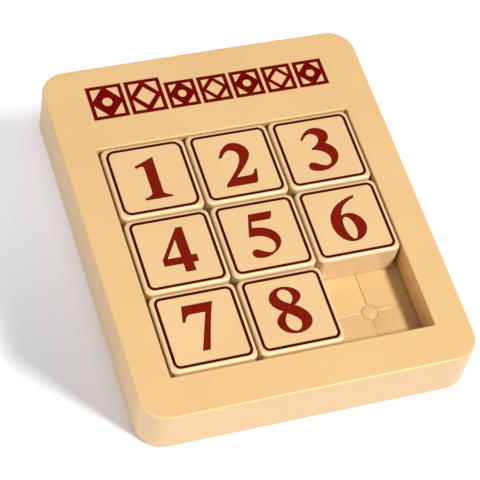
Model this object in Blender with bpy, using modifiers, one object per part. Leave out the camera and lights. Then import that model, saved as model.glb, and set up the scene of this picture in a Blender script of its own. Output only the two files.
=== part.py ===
"""Sliding tile puzzle: eight numbered tiles in a three by three well, inside a moulded tray.

Metres, +Z up. The origin is the middle of the tray's footprint, on the surface it rests on. +Y points to
the title band, above the well. Lengths below are written in millimetres and scaled once by MM.
"""

import math

import bmesh
import bpy
from mathutils import Matrix

MM = 0.001
OBJECT = "sliding_tile_puzzle"

# tray
TRAY_WIDTH = 82.8
TRAY_LENGTH = 100.6
TRAY_HEIGHT = 13.7
TRAY_CORNER = 6.6
TRAY_EDGE_ROUND = 0.7
WALL = 1.8
TOP_SKIN = 2.2
TITLE_RIB_WIDTH = 1.2
TITLE_RIB_PITCH = 17.8
CLEARANCE = 0.3

# well, a square window with its centre below the tray's middle
WELL = 65.4
WELL_Y = -7.3
WELL_DEPTH = 8.2
FLOOR_TOP = TRAY_HEIGHT - WELL_DEPTH
FLOOR_THICKNESS = 1.2
FLOOR_SIZE = WELL + 2 * WALL
SHEET_SIZE = 64.0
SHEET_THICKNESS = 0.5

# guide lines on the well floor
LINE_WIDTH = 0.3
LINE_DEPTH = 0.25
SPOT_RADIUS = 2.0

# tiles
PITCH = 21.6
TILE = 21.2
TILE_CORNER = 1.7
TILE_EDGE_ROUND = 0.8
TILE_TOP = 14.1
TILE_FOOT = FLOOR_TOP + 0.2
TILE_SKIN = 2.0
TILE_CAVITY = 17.6
CAVITY_CORNER = 1.0
BASE_THICKNESS = 1.2
CUP_RADIUS = 5.3
MAGNET_RADIUS = 4.0
MAGNET_HEIGHT = 2.0
MAGNET_Z = TILE_FOOT + BASE_THICKNESS + CLEARANCE

# paint-filled engravings
POCKET_DEPTH = 0.5
INLAY_SINK = 0.05
INLAY_HEIGHT = 0.38
INLAY_GAP = 0.06
RING_SIZE = 18.6
RING_CORNER = 1.4
FIRST_RING_CORNER = 2.0
RING_LINE = 0.85

# title ornaments, in a row on one base line, the first ones larger
ORNAMENTS = 7
LARGE_ORNAMENTS = 2
LARGE_ORNAMENT = (9.2, 10.3)
SMALL_ORNAMENT = (7.8, 8.3)
ORNAMENT_GAP = 0.75
ORNAMENT_LINE = 1.05
ORNAMENT_NOTCH = 0.72
ORNAMENT_MIDDLE = 0.55
DISC_FLAT = 0.01  # straight stretch between a disc's quarter arcs
TITLE_LEFT = -30.8
TITLE_FOOT = 34.0

# back cover and its screws
COVER_THICKNESS = 2.2
COVER_LIP = 0.2
COVER_CORNER = TRAY_CORNER - WALL - CLEARANCE
RIB_WIDTH = 1.6
RIB_OVERLAP = 0.5
SCREW_X = 36.0
SCREW_Y = 44.9
BOSS_RADIUS = 2.7
BOSS_BORE = 1.4
BOSS_FOOT = COVER_THICKNESS + CLEARANCE
BORE_TOP = 10.5
HEAD_RADIUS = 2.0
HEAD_FOOT = 0.2
HEAD_HEIGHT = 1.1
SINK_RADIUS = 2.2
SINK_DEPTH = 1.5
SHANK_RADIUS = 1.1
SHANK_TIP = 9.5
POINT_LENGTH = 1.2
POINT_SHARE = 0.4
HEAD_CHAMFER = 0.35
SLOT_LENGTH = 2.4
SLOT_WIDTH = 0.5
SLOT_DEPTH = 0.7

# how far a cutting tool passes the surface it opens
PAST = 1.0

# pieces whose cuts meet in shared planes, and need the manifold kind of boolean
MANIFOLD_PIECES = ("tray_frame", "back_cover")

# handle length that makes a cubic Bezier follow a quarter circle of radius 1
QUARTER_HANDLE = 4 * (math.sqrt(2) - 1) / 3
ROUND_STEPS = 24

CREAM = (0.90, 0.66, 0.37, 1)
TILE_CREAM = (0.93, 0.70, 0.42, 1)
INK = (0.22, 0.012, 0.006, 1)
STEEL = (0.55, 0.55, 0.57, 1)
MAGNET_GREY = (0.35, 0.35, 0.37, 1)

# A point of an outline is (x, y) or (x, y, arrive, leave), in millimetres from the tile's middle. arrive
# and leave are (direction in degrees, handle length), or None where that side is straight.


def smooth(x, y, direction, before, after):
    """A point that the outline passes without a corner, heading in this direction."""
    return (x, y, (direction, before), (direction, after))


def one():
    return [
        [
            (1.62, 6.12),
            (1.5, -4.3, None, (-90, 0.7)),
            (3.5, -5.6, (-12, 1.2), None),
            (3.4, -6.2),
            (-3.35, -6.2),
            (-3.4, -5.55, None, (12, 1.2)),
            (-1.25, -4.1, (90, 0.8), None),
            (-1.25, 3.0, None, (90, 0.5)),
            smooth(-1.8, 3.68, 180, 0.4, 0.5),
            (-3.35, 3.28, (196, 0.5), None),
            (-3.42, 4.15, None, (17, 1.6)),
        ]
    ]


def two():
    return [
        [
            smooth(0.15, 6.28, 0, 2.0, 2.0),
            smooth(3.93, 2.75, -90, 1.9, 1.9),
            (-1.2, -4.0, (223, 2.4), None),
            (2.2, -3.97, None, (0, 0.9)),
            (3.85, -2.35, (62, 0.8), None),
            (4.42, -2.38),
            (3.85, -5.2, None, (258, 0.8)),
            (3.0, -6.52, (180, 0.5), None),
            (-4.55, -6.52),
            (-4.35, -5.75, None, (48, 3.6)),
            smooth(1.07, 2.2, 90, 2.6, 1.0),
            smooth(-0.85, 4.15, 180, 1.05, 1.1),
            (-3.24, 2.2, (240, 0.6), None),
            (-4.05, 2.2, None, (75, 1.6)),
        ]
    ]


def three():
    return [
        [
            smooth(0.2, 6.67, 0, 1.9, 1.9),
            smooth(3.55, 4.1, -90, 1.35, 1.3),
            (2.15, 1.7, (215, 0.7), (-35, 1.2)),
            smooth(4.33, -1.7, -90, 1.6, 2.6),
            smooth(-1.1, -6.4, 180, 2.9, 1.8),
            smooth(-4.27, -4.8, 90, 0.9, 0.7),
            smooth(-3.1, -3.48, 0, 0.6, 1.1),
            smooth(0.45, -4.95, 0, 1.4, 1.0),
            smooth(2.05, -3.1, 90, 1.1, 1.6),
            (-1.9, 0.15, (175, 1.9), None),
            (-1.9, 0.58, None, (24, 1.9)),
            smooth(0.7, 3.3, 90, 0.9, 1.0),
            smooth(-1.05, 4.97, 180, 0.9, 1.0),
            (-3.3, 3.35, (235, 0.6), None),
            (-3.95, 3.4, None, (62, 1.6)),
        ]
    ]


def four():
    return [
        [
            (1.3, 6.45),
            (2.9, 6.45),
            (2.95, -1.72),
            (4.3, -1.72),
            (4.3, -3.85),
            (2.95, -3.85),
            (2.95, -6.22),
            (0.4, -6.22),
            (0.4, -3.83),
            (-4.25, -3.82),
            (-4.2, -1.95),
        ],
        [(0.25, 3.1), (0.4, -1.85), (-2.9, -1.85)],
    ]


def five():
    return [
        [
            (-1.97, 6.42),
            (4.0, 6.42),
            (3.58, 5.05, None, (253, 0.6)),
            (2.4, 4.15, (180, 0.6), None),
            (-1.75, 4.15),
            (-2.08, 2.5, None, (-1, 3.4)),
            smooth(3.87, -1.75, -90, 2.5, 2.4),
            smooth(-1.7, -6.3, 180, 2.6, 1.5),
            smooth(-4.2, -4.85, 90, 0.85, 0.7),
            smooth(-3.1, -3.6, 0, 0.6, 1.1),
            smooth(0.45, -5.05, 0, 1.3, 0.95),
            smooth(2.1, -3.0, 90, 1.1, 1.5),
            (-2.2, 0.0, (180, 2.4), None),
            (-3.65, -0.05),
        ]
    ]


def six():
    return [
        [
            (3.78, 6.78, None, (193, 4.2)),
            smooth(-4.28, -0.9, -90, 4.6, 3.0),
            smooth(-0.1, -6.35, 0, 2.2, 2.3),
            smooth(4.23, -2.1, 90, 2.4, 2.0),
            smooth(0.6, 1.9, 180, 1.9, 0.8),
            (-1.0, 1.5, (205, 0.3), (78, 2.0)),
            (3.74, 5.95, (16, 2.8), None),
        ],
        [
            smooth(-0.3, 0.85, 0, 0.6, 0.9),
            smooth(1.47, -2.7, -90, 1.9, 1.6),
            smooth(0.3, -5.62, 180, 0.65, 0.8),
            smooth(-1.33, -1.6, 90, 2.0, 1.6),
        ],
    ]


def seven():
    return [
        [
            (-3.55, 6.42),
            (4.1, 6.42, None, (246, 3.0)),
            (-0.05, -6.2, (253, 4.0), None),
            (-1.95, -6.2),
            (1.6, 3.85),
            (-1.9, 3.9, None, (180, 1.1)),
            (-3.75, 2.0, (247, 1.0), None),
            (-4.45, 1.95),
        ]
    ]


def eight():
    return [
        [
            smooth(-0.5, 6.6, 0, 2.0, 2.0),
            smooth(3.55, 3.7, -90, 1.6, 1.1),
            (1.35, 1.15, (205, 0.8), (-28, 1.4)),
            smooth(4.28, -3.0, -90, 1.7, 2.0),
            smooth(-0.1, -6.45, 180, 2.3, 2.2),
            smooth(-4.3, -3.0, 90, 2.0, 1.4),
            (-1.95, -0.02, (30, 0.8), (150, 1.3)),
            smooth(-4.4, 3.3, 90, 1.5, 1.9),
        ],
        [
            smooth(-0.55, 5.8, 0, 0.8, 1.1),
            smooth(1.4, 3.6, -90, 1.2, 1.0),
            (0.45, 1.7, (222, 0.3), (158, 0.9)),
            smooth(-2.0, 4.4, 90, 1.2, 0.8),
        ],
        [
            (-1.15, -0.7, (55, 0.6), (-33, 1.3)),
            smooth(1.45, -3.6, -90, 1.1, 1.2),
            smooth(-0.2, -5.65, 180, 0.85, 1.1),
            smooth(-2.2, -3.2, 90, 1.3, 1.1),
        ],
    ]


DIGITS = (one, two, three, four, five, six, seven, eight)


def clear_scene():
    for item in list(bpy.data.objects):
        bpy.data.objects.remove(item, do_unlink=True)


def new_collection(name, hidden=False):
    collection = bpy.data.collections.new(name)
    bpy.context.scene.collection.children.link(collection)
    collection.hide_render = hidden
    return collection


def paint(item, name, color, metallic=0.0, roughness=0.45):
    """Gives an object its own Principled material."""
    material = bpy.data.materials.new(name)
    material.use_nodes = True
    shader = material.node_tree.nodes["Principled BSDF"]
    shader.inputs["Base Color"].default_value = color
    shader.inputs["Metallic"].default_value = metallic
    shader.inputs["Roughness"].default_value = roughness
    item.data.materials.clear()
    item.data.materials.append(material)


def rounded_rectangle(width, length, radius):
    """Outline points of a rectangle with round corners, clockwise from the top edge."""
    x, y, reach = width / 2, length / 2, QUARTER_HANDLE * radius
    corners = (
        ((x - radius, y), (x, y - radius), 0, -90),
        ((x, radius - y), (x - radius, -y), -90, 180),
        ((radius - x, -y), (-x, radius - y), 180, 90),
        ((-x, y - radius), (radius - x, y), 90, 0),
    )
    points = []
    for start, end, heading_in, heading_out in corners:
        points.append((*start, None, (heading_in, reach)))
        points.append((*end, (heading_out, reach), None))
    return points


def rectangle(width, length):
    """Sharp-cornered rectangle round the origin."""
    x, y = width / 2, length / 2
    return [(-x, y), (x, y), (x, -y), (-x, -y)]


def well_square(size):
    """Sharp-cornered square round the well's middle."""
    return moved(rectangle(size, size), 0, WELL_Y)


def moved(loop, x, y):
    return [(point[0] + x, point[1] + y, *point[2:]) for point in loop]


def add_spline(curve, loop):
    """Adds one closed Bezier outline to a 2D curve."""
    spline = curve.splines.new("BEZIER")
    spline.bezier_points.add(len(loop) - 1)
    spline.use_cyclic_u = True
    for index, point in enumerate(loop):
        knot = spline.bezier_points[index]
        x, y = point[0], point[1]
        arrive, leave = point[2:] if len(point) > 2 else (None, None)
        knot.co = (x * MM, y * MM, 0)
        knot.handle_left_type = "FREE" if arrive else "VECTOR"
        knot.handle_right_type = "FREE" if leave else "VECTOR"
        for handle, side, sign in ((arrive, "handle_left", -1), (leave, "handle_right", 1)):
            if handle:
                angle, reach = math.radians(handle[0]), sign * handle[1]
                reach_x, reach_y = reach * math.cos(angle), reach * math.sin(angle)
                setattr(knot, side, ((x + reach_x) * MM, (y + reach_y) * MM, 0))


def plate(name, loops, foot, top, steps=4, edge_round=0.0, grow=0.0):
    """A flat solid between two heights, with these outlines, its edges rounded if asked."""
    curve = bpy.data.curves.new(name + "_outline", "CURVE")
    curve.dimensions = "2D"
    curve.fill_mode = "BOTH"
    curve.resolution_u = steps
    curve.extrude = (top - foot) / 2 * MM - edge_round * MM
    curve.bevel_depth = edge_round * MM
    curve.bevel_resolution = 2
    curve.offset = (grow - edge_round) * MM
    for loop in loops:
        add_spline(curve, loop)
    source = bpy.data.objects.new(name + "_source", curve)
    bpy.context.scene.collection.objects.link(source)
    source.location.z = (top + foot) / 2 * MM
    bpy.context.view_layer.update()
    evaluated = source.evaluated_get(bpy.context.evaluated_depsgraph_get())
    mesh = bpy.data.meshes.new_from_object(evaluated)
    mesh.transform(source.matrix_world)
    bpy.data.objects.remove(source, do_unlink=True)
    return solid(name, mesh)


def solid(name, mesh):
    """Welds a mesh, turns its faces outward and makes it an object."""
    shape = bmesh.new()
    shape.from_mesh(mesh)
    bmesh.ops.remove_doubles(shape, verts=shape.verts, dist=0.000001)
    bmesh.ops.recalc_face_normals(shape, faces=shape.faces)
    shape.to_mesh(mesh)
    shape.free()
    mesh.name = name
    mesh.materials.clear()
    item = bpy.data.objects.new(name, mesh)
    bpy.context.scene.collection.objects.link(item)
    return item


def turned(name, profile, x, y, steps=ROUND_STEPS):
    """A solid of revolution round the vertical line at (x, y), from (radius, height) pairs."""
    mesh = bpy.data.meshes.new(name)
    points = [(radius * MM, 0, height * MM) for radius, height in profile]
    edges = [(index, index + 1) for index in range(len(points) - 1)]
    mesh.from_pydata(points, edges, [])
    item = bpy.data.objects.new(name, mesh)
    bpy.context.scene.collection.objects.link(item)
    screw = item.modifiers.new("turn", "SCREW")
    screw.steps = screw.render_steps = steps
    screw.use_merge_vertices = True
    screw.merge_threshold = 0.00001
    apply_modifiers(item)
    item.data.transform(translation(x, y, 0))
    return item


def translation(x, y, z):
    return Matrix.Translation((x * MM, y * MM, z * MM))


def rod(name, radius, foot, top, x, y):
    """A plain round rod standing at (x, y)."""
    return turned(name, [(0, top), (radius, top), (radius, foot), (0, foot)], x, y)


def box(name, low, high):
    """A box between two corners."""
    shape = bmesh.new()
    bmesh.ops.create_cube(shape, size=1)
    for vertex in shape.verts:
        for axis in range(3):
            middle, size = (low[axis] + high[axis]) / 2, high[axis] - low[axis]
            vertex.co[axis] = (middle + vertex.co[axis] * size) * MM
    mesh = bpy.data.meshes.new(name)
    shape.to_mesh(mesh)
    shape.free()
    item = bpy.data.objects.new(name, mesh)
    bpy.context.scene.collection.objects.link(item)
    return item


def apply_modifiers(item):
    """Replaces an object's mesh with the result of its modifiers."""
    bpy.context.view_layer.update()
    evaluated = item.evaluated_get(bpy.context.evaluated_depsgraph_get())
    mesh = bpy.data.meshes.new_from_object(evaluated)
    item.modifiers.clear()
    item.data = mesh


def combine(item, tools, operation):
    """Cuts tools out of a solid, or joins them to it, one after another."""
    for tool in tools:
        modifier = item.modifiers.new("combine", "BOOLEAN")
        modifier.operation = operation
        modifier.solver = "MANIFOLD" if item.name in MANIFOLD_PIECES else "EXACT"
        modifier.object = tool
        apply_modifiers(item)
        keep_cutter(tool)


def cut(item, *tools):
    combine(item, tools, "DIFFERENCE")


def join(item, *tools):
    combine(item, tools, "UNION")


def keep_cutter(tool):
    """Puts a used tool with the other cutters, out of the render."""
    for collection in list(tool.users_collection):
        collection.objects.unlink(tool)
    cutters.objects.link(tool)
    tool.hide_render = True
    tool.display_type = "WIRE"


def several(name, items):
    """Joins solids that don't touch each other into one tool."""
    shape = bmesh.new()
    for item in items:
        shape.from_mesh(item.data)
        bpy.data.objects.remove(item, do_unlink=True)
    mesh = bpy.data.meshes.new(name)
    shape.to_mesh(mesh)
    shape.free()
    tool = bpy.data.objects.new(name, mesh)
    bpy.context.scene.collection.objects.link(tool)
    return tool


def finish(item, color, metallic=0.0, roughness=0.45):
    """Shades, paints and files a finished piece."""
    for polygon in item.data.polygons:
        polygon.use_smooth = True
    item.data.set_sharp_from_angle(angle=math.radians(35))
    paint(item, item.name, color, metallic, roughness)
    for collection in list(item.users_collection):
        collection.objects.unlink(item)
    parts.objects.link(item)


def screw_places():
    return [(x, y) for y in (-SCREW_Y, SCREW_Y) for x in (-SCREW_X, SCREW_X)]


def tray_frame():
    outline = rounded_rectangle(TRAY_WIDTH, TRAY_LENGTH, TRAY_CORNER)
    frame = plate("tray_frame", [outline], 0, TRAY_HEIGHT, 6, TRAY_EDGE_ROUND)
    hollow = rounded_rectangle(TRAY_WIDTH - 2 * WALL, TRAY_LENGTH - 2 * WALL, TRAY_CORNER - WALL)
    keep = well_square(FLOOR_SIZE)
    cut(frame, plate("tray_hollow_cut", [hollow, keep], -PAST, TRAY_HEIGHT - TOP_SKIN))
    under_half = (FLOOR_SIZE + 2 * CLEARANCE) / 2
    under_low = (-under_half, WELL_Y - under_half, -PAST)
    under_high = (under_half, WELL_Y + under_half, FLOOR_TOP + CLEARANCE)
    cut(frame, box("tray_floor_seat_cut", under_low, under_high))
    half = WELL / 2
    well_low = (-half, WELL_Y - half, -PAST)
    well_high = (half, WELL_Y + half, TRAY_HEIGHT + PAST)
    cut(frame, box("tray_well_cut", well_low, well_high))
    join_top = TRAY_HEIGHT - TOP_SKIN / 2
    for x in (-TITLE_RIB_PITCH, 0, TITLE_RIB_PITCH):
        low = (x - TITLE_RIB_WIDTH / 2, WELL_Y + FLOOR_SIZE / 2 - WALL / 2, FLOOR_TOP + 2 * CLEARANCE)
        high = (x + TITLE_RIB_WIDTH / 2, TRAY_LENGTH / 2 - WALL / 2, join_top)
        join(frame, box(f"tray_rib_{x:.0f}", low, high))
    for number, (x, y) in enumerate(screw_places()):
        join(frame, rod(f"tray_boss_{number}", BOSS_RADIUS, BOSS_FOOT, join_top, x, y))
    bores = [
        rod(f"bore_{number}", BOSS_BORE, 0, BORE_TOP, x, y)
        for number, (x, y) in enumerate(screw_places())
    ]
    cut(frame, several("tray_bore_cut", bores))
    pockets = [
        plate(f"ornament_pocket_{number}", ornament(number), *engraved(TRAY_HEIGHT), grow=INLAY_GAP)
        for number in range(ORNAMENTS)
    ]
    cut(frame, several("tray_title_cut", pockets))
    finish(frame, CREAM)


def engraved(surface):
    """Foot and top of a tool that engraves this surface."""
    return surface - POCKET_DEPTH, surface + PAST


def inlaid(surface):
    """Foot and top of the paint in an engraving."""
    return surface - INLAY_SINK - INLAY_HEIGHT, surface - INLAY_SINK


def ornament_place(number):
    """Middle and size of one title ornament."""
    large = min(number, LARGE_ORNAMENTS)
    left = TITLE_LEFT + large * LARGE_ORNAMENT[0] + (number - large) * SMALL_ORNAMENT[0]
    left += number * ORNAMENT_GAP
    width, height = LARGE_ORNAMENT if number < LARGE_ORNAMENTS else SMALL_ORNAMENT
    return left + width / 2, TITLE_FOOT + height / 2, width, height


def ornament(number):
    """Outlines of one title ornament: a frame that holds a diamond with a diamond or a disc cut out."""
    x, y, width, height = ornament_place(number)
    inner_x, inner_y = width / 2 - ORNAMENT_LINE, height / 2 - ORNAMENT_LINE
    loops = [rectangle(width, height)]
    for side_x in (-1, 1):
        for side_y in (-1, 1):
            near_x, near_y = side_x * ORNAMENT_NOTCH, side_y * ORNAMENT_NOTCH
            far_x, far_y = side_x * inner_x, side_y * inner_y
            loops.append([(far_x, far_y), (near_x, far_y), (far_x, near_y)])
    reach_x, reach_y = ORNAMENT_MIDDLE * width / 2, ORNAMENT_MIDDLE * height / 2
    if number % 2:
        loops.append([(0, reach_y), (reach_x, 0), (0, -reach_y), (-reach_x, 0)])
    else:
        loops.append(rounded_rectangle(reach_x, reach_x, reach_x / 2 - DISC_FLAT))
    return [moved(loop, x, y) for loop in loops]


def title_ornaments():
    for number in range(ORNAMENTS):
        name = f"title_ornament_{number + 1}"
        finish(plate(name, ornament(number), *inlaid(TRAY_HEIGHT)), INK)


def cell(number):
    """The middle of the cell that holds this tile, counted from the top left, row by row."""
    row, column = divmod(number - 1, 3)
    return (column - 1) * PITCH, WELL_Y + (1 - row) * PITCH


def well_floor():
    outline = well_square(FLOOR_SIZE)
    floor = plate("well_floor", [outline], FLOOR_TOP - FLOOR_THICKNESS, FLOOR_TOP)
    outer, inner = SPOT_RADIUS + LINE_WIDTH / 2, SPOT_RADIUS - LINE_WIDTH / 2
    low, high = FLOOR_TOP - LINE_DEPTH, FLOOR_TOP + PAST
    rings, lines = [], []
    for number in range(1, 10):
        x, y = cell(number)
        profile = [(inner, high), (outer, high), (outer, low), (inner, low), (inner, high)]
        rings.append(turned(f"ring_{number}", profile, x, y, 20))
    edge = WELL / 2
    stops = [-edge]
    for middle in (-PITCH, 0, PITCH):
        stops += [middle - SPOT_RADIUS, middle + SPOT_RADIUS]
    stops.append(edge)
    half = LINE_WIDTH / 2
    for start, end in zip(stops[::2], stops[1::2]):
        for middle in (-PITCH, 0, PITCH):
            across = (start, WELL_Y + middle - half, low), (end, WELL_Y + middle + half, high)
            along = (middle - half, WELL_Y + start, low), (middle + half, WELL_Y + end, high)
            lines += [box("line", *across), box("line", *along)]
    cut(floor, several("floor_spot_cut", rings))
    cut(floor, several("floor_line_cut", lines))
    finish(floor, CREAM)


def steel_sheet():
    top = FLOOR_TOP - FLOOR_THICKNESS - CLEARANCE
    outline = moved(rounded_rectangle(SHEET_SIZE, SHEET_SIZE, 2), 0, WELL_Y)
    finish(plate("steel_sheet", [outline], top - SHEET_THICKNESS, top), STEEL, 1.0, 0.35)


def back_cover():
    margin = 2 * (WALL + CLEARANCE)
    outline = rounded_rectangle(TRAY_WIDTH - margin, TRAY_LENGTH - margin, COVER_CORNER)
    cover = plate("back_cover", [outline], 0, COVER_THICKNESS)
    outer, inner = FLOOR_SIZE - 2 * COVER_LIP, SHEET_SIZE + 2 * CLEARANCE
    wall_top = FLOOR_TOP - FLOOR_THICKNESS - CLEARANCE
    loops = [well_square(outer), well_square(inner)]
    join(cover, plate("cover_wall", loops, COVER_THICKNESS / 2, wall_top))
    rib_top = wall_top - SHEET_THICKNESS - CLEARANCE
    reach = inner / 2 + RIB_OVERLAP
    for number, middle in enumerate((-PITCH, 0, PITCH)):
        low = (middle - RIB_WIDTH / 2, WELL_Y - reach, COVER_THICKNESS / 2)
        high = (middle + RIB_WIDTH / 2, WELL_Y + reach, rib_top)
        join(cover, box(f"cover_rib_{number}", low, high))
    sinks, holes = [], []
    for number, (x, y) in enumerate(screw_places()):
        sinks.append(rod(f"sink_{number}", SINK_RADIUS, -PAST, SINK_DEPTH, x, y))
        holes.append(rod(f"hole_{number}", BOSS_BORE, SINK_DEPTH / 2, COVER_THICKNESS + PAST, x, y))
    cut(cover, several("cover_sink_cut", sinks))
    cut(cover, several("cover_hole_cut", holes))
    finish(cover, CREAM)


def cover_screws():
    head_top = HEAD_FOOT + HEAD_HEIGHT
    for number, (x, y) in enumerate(screw_places(), 1):
        profile = [
            (0, SHANK_TIP),
            (SHANK_RADIUS * POINT_SHARE, SHANK_TIP),
            (SHANK_RADIUS, SHANK_TIP - POINT_LENGTH),
            (SHANK_RADIUS, head_top),
            (HEAD_RADIUS, head_top),
            (HEAD_RADIUS, HEAD_FOOT + HEAD_CHAMFER),
            (HEAD_RADIUS - HEAD_CHAMFER, HEAD_FOOT),
            (0, HEAD_FOOT),
        ]
        item = turned(f"cover_screw_{number}", profile, x, y)
        for size_x, size_y in ((SLOT_LENGTH, SLOT_WIDTH), (SLOT_WIDTH, SLOT_LENGTH)):
            low = (x - size_x / 2, y - size_y / 2, -PAST)
            high = (x + size_x / 2, y + size_y / 2, HEAD_FOOT + SLOT_DEPTH)
            cut(item, box(f"screw_{number}_slot", low, high))
        finish(item, STEEL, 1.0, 0.3)


def ring_loops(number):
    """Outlines of the painted ring. The first tile's has rounder corners."""
    corner = FIRST_RING_CORNER if number == 1 else RING_CORNER
    outer, inner = RING_SIZE + RING_LINE, RING_SIZE - RING_LINE
    return [
        rounded_rectangle(outer, outer, corner + RING_LINE / 2),
        rounded_rectangle(inner, inner, corner - RING_LINE / 2),
    ]


def tile(number):
    x, y = cell(number)
    name = f"tile_{number}_"
    digit = [moved(loop, x, y) for loop in DIGITS[number - 1]()]
    ring = [moved(loop, x, y) for loop in ring_loops(number)]

    outline = moved(rounded_rectangle(TILE, TILE, TILE_CORNER), x, y)
    body = plate(name + "body", [outline], TILE_FOOT - 2 * PAST, TILE_TOP, 4, TILE_EDGE_ROUND)
    cut(body, box(name + "foot_cut", (x - TILE, y - TILE, 0), (x + TILE, y + TILE, TILE_FOOT)))
    hollow = moved(rounded_rectangle(TILE_CAVITY, TILE_CAVITY, CAVITY_CORNER), x, y)
    cut(body, plate(name + "hollow_cut", [hollow], TILE_FOOT - PAST, TILE_TOP - TILE_SKIN))
    cut(body, plate(name + "ring_cut", ring, *engraved(TILE_TOP), grow=INLAY_GAP))
    cut(body, plate(name + "digit_cut", digit, *engraved(TILE_TOP), steps=5, grow=INLAY_GAP))
    finish(body, TILE_CREAM)

    finish(plate(name + "ring", ring, *inlaid(TILE_TOP)), INK)
    finish(plate(name + "digit", digit, *inlaid(TILE_TOP), steps=5), INK)

    side = TILE_CAVITY - 2 * CLEARANCE
    outline = moved(rounded_rectangle(side, side, CAVITY_CORNER - CLEARANCE), x, y)
    base = plate(name + "base", [outline], TILE_FOOT, TILE_FOOT + BASE_THICKNESS)
    cup_top = MAGNET_Z + MAGNET_HEIGHT
    join(base, rod(name + "cup", CUP_RADIUS, TILE_FOOT + BASE_THICKNESS / 2, cup_top, x, y))
    bore = MAGNET_RADIUS + CLEARANCE
    cut(base, rod(name + "cup_cut", bore, TILE_FOOT + BASE_THICKNESS, cup_top + PAST, x, y))
    finish(base, TILE_CREAM)

    magnet = rod(name + "magnet", MAGNET_RADIUS, MAGNET_Z, MAGNET_Z + MAGNET_HEIGHT, x, y)
    finish(magnet, MAGNET_GREY, 1.0, 0.35)


clear_scene()
parts = new_collection(OBJECT)
cutters = new_collection(OBJECT + "_cutters", hidden=True)
tray_frame()
title_ornaments()
well_floor()
steel_sheet()
back_cover()
cover_screws()
for tile_number in range(1, 9):
    tile(tile_number)
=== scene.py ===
"""Looks of the sliding tile puzzle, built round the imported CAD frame.

Lengths are millimetres unless a name says otherwise, and MM scales them to metres. Heights and places
come from the CAD nodes' boxes.
"""

import math

import bmesh
import bpy
from mathutils import Matrix, Vector
from mathutils.geometry import delaunay_2d_cdt


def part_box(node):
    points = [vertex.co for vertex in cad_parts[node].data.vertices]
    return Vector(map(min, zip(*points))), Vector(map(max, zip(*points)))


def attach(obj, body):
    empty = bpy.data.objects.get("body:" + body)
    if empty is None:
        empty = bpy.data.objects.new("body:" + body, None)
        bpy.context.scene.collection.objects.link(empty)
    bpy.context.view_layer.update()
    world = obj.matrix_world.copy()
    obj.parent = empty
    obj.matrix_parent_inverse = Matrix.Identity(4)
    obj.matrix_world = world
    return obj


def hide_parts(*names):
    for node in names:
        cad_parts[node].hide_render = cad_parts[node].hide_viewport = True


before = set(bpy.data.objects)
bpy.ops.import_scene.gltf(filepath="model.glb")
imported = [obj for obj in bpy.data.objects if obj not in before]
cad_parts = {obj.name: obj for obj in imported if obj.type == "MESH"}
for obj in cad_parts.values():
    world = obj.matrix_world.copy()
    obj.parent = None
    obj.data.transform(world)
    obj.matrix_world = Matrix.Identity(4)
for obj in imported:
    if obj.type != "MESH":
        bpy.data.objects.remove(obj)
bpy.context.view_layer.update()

MM = 0.001

# tray
TRAY_CORNER = 6.6
TRAY_TOP_ROUND = 0.5
TRAY_FOOT_ROUND = 0.4
TRAY_WALL = 1.8
TRAY_SKIN = 2.2
WELL = 65.4
WELL_EDGE_ROUND = 0.3
WELL_CORNER = 0.4
WALL_FOOT_GAP = 0.4
TITLE_RIB_WIDTH = 1.2
TITLE_RIB_PITCH = 17.8
TITLE_RIB_RISE = 0.6
JOIN_GAP = 0.05
BOSS_RADIUS = 2.7
BOSS_FOOT = 2.5
BORE_RADIUS = 1.4
BORE_TOP = 10.5

# tiles, each drawn a little inside its CAD body so that the gaps stay open
TILE_INSET = 0.06
TILE_CORNER = 1.7
TILE_TOP_ROUND = 0.8
TILE_TOP_STEPS = 10
TILE_FOOT_ROUND = 0.25
TILE_SKIN = 2.0
TILE_CAVITY = 17.6
CAVITY_CORNER = 1.0
RING_SIZE = 18.6
RING_LINE = 0.76
RING_CORNER = 1.4
FIRST_RING_CORNER = 2.0
ENGRAVING_DEPTH = 0.16
PAINT_SINK = 0.05
PAINT_THICKNESS = 0.09
PAINT_GRID = 0.2
# how far painted shade reaches in from a paint's outline
PAINT_SHADE_WIDTH = 0.3
PAINT_MARGIN = 0.09

# well floor
LINE_DEPTH = 0.15
LINE_REACHES = (0.05, 0.1, 0.16, 0.23)
SPOT_RADIUS = 2.0
CELLS = (-21.6, 0, 21.6)

# back cover and screws
COVER_FOOT_ROUND = 0.3
COVER_CORNER = 4.5
COVER_THICKNESS = 2.2
COVER_WALL_OUTSIDE = 68.6
COVER_WALL_INSIDE = 64.6
COVER_RIB_WIDTH = 1.6
COVER_RIB_DROP = 0.8
SINK_RADIUS = 2.2
SINK_DEPTH = 1.5
SINK_ROUND = 0.15
SCREWS = 4
CROSS_REACH = 1.2
CROSS_WIDTH = 0.5
CROSS_DEPTH = 0.65
CROSS_TAPER = 0.12
CROSS_END_TAPER = 0.36
HEAD_RIM = 0.3
CROWN_SHARE = 0.72
TIP_SHARE = 0.35
SHANK_RADIUS = 1.1
THREAD_PITCH = 0.7
THREAD_DEPTH = 0.18
HEAD_HEIGHT = 1.1

# title ornaments
ORNAMENTS = 7
ORNAMENT_LINE = 1.05
ORNAMENT_NOTCH = 0.72
ORNAMENT_MIDDLE = 0.55
DISC_STEPS = 48

# marks that a mesh carries at its vertices, for the tints of its material, which are painted light and
# shade
FACE_MARK = 0.0
# EDGE_MARK is where a painted highlight is full on a rounded edge, and where painted shade is full on a
# paint's outline and in a guide line
EDGE_MARK = 1.0  # on a rounded or painted edge, and in a guide line
# SIDE_MARK gives an outer side wall painted light and shade: a pinker, paler side colour in place of the
# floor's light on it
SIDE_MARK = -1.0  # on an outer side wall
# WELL_MARK gives the well's wall painted bounce light: a more orange cream in place of the light thrown
# back inside the well
WELL_MARK = 2.0  # on the well's wall

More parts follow.
